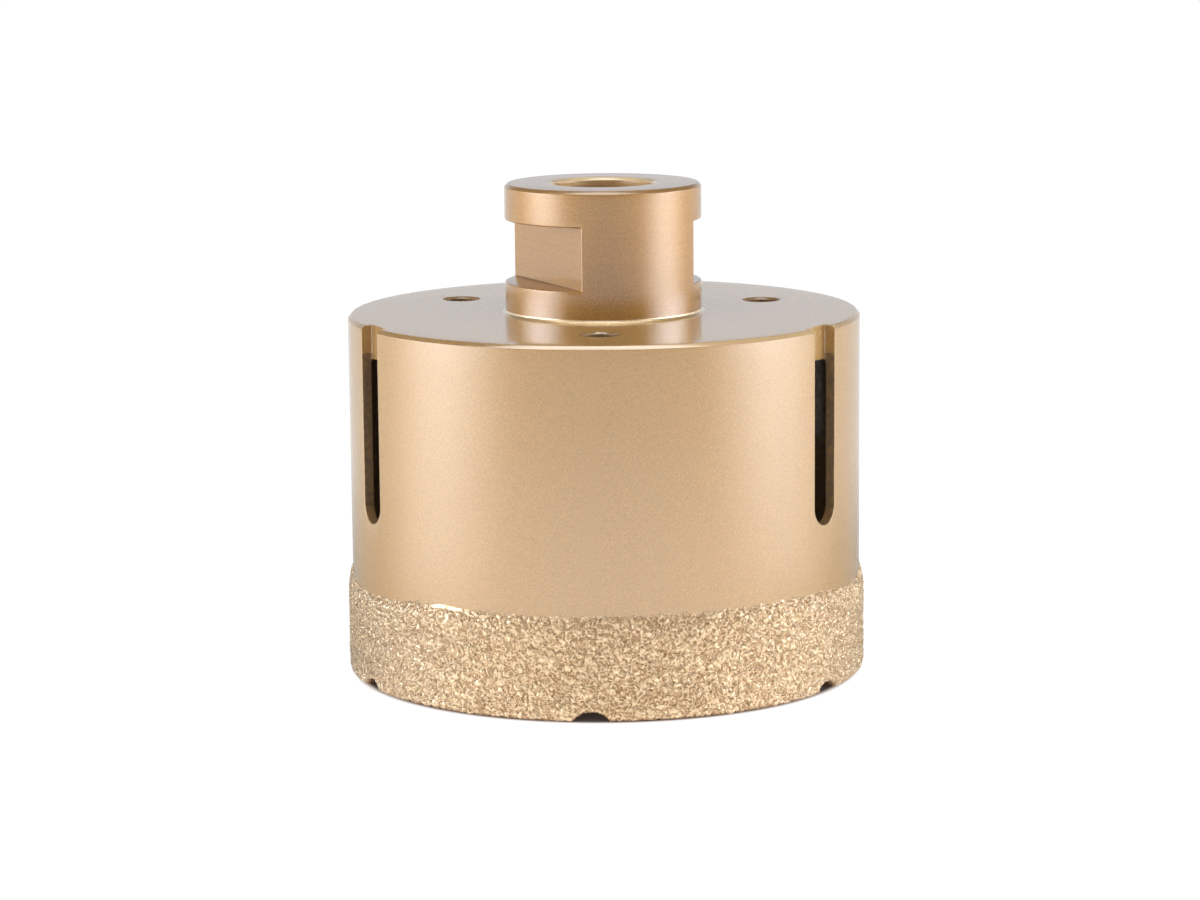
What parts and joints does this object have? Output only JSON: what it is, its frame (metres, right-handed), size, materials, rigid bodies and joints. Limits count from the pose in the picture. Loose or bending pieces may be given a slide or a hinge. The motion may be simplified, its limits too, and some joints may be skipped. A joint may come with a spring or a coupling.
{
  "type": "tile drill bit",
  "caption": "Cup-shaped core drill bit for tile: slotted steel barrel, rough abrasive coat round its rim, and a threaded hub with spanner flats.",
  "frame": {"origin": "middle of the plane that the rim stands on", "axes": "+Z along the drill's axis from the rim to the hub's face, -Y through the middle of one notch and near one ejector hole, a slot at +Y"},
  "size_m": [0.072, 0.072, 0.0671],
  "materials": {
    "gold_coat": "satin gold coat with a fine sprayed grain over blasted steel",
    "gold_coat_hub": "satin gold coat over turned steel",
    "braze": "smooth gold-coated braze",
    "grit_coat": "rough gold-coated braze full of diamond grains"
  },
  "bodies": {
    "root": {"cup": "gold_coat", "spindle_hub": "gold_coat_hub", "braze_fillet": "braze", "grit_rim": "grit_coat"}
  },
  "joints": []
}
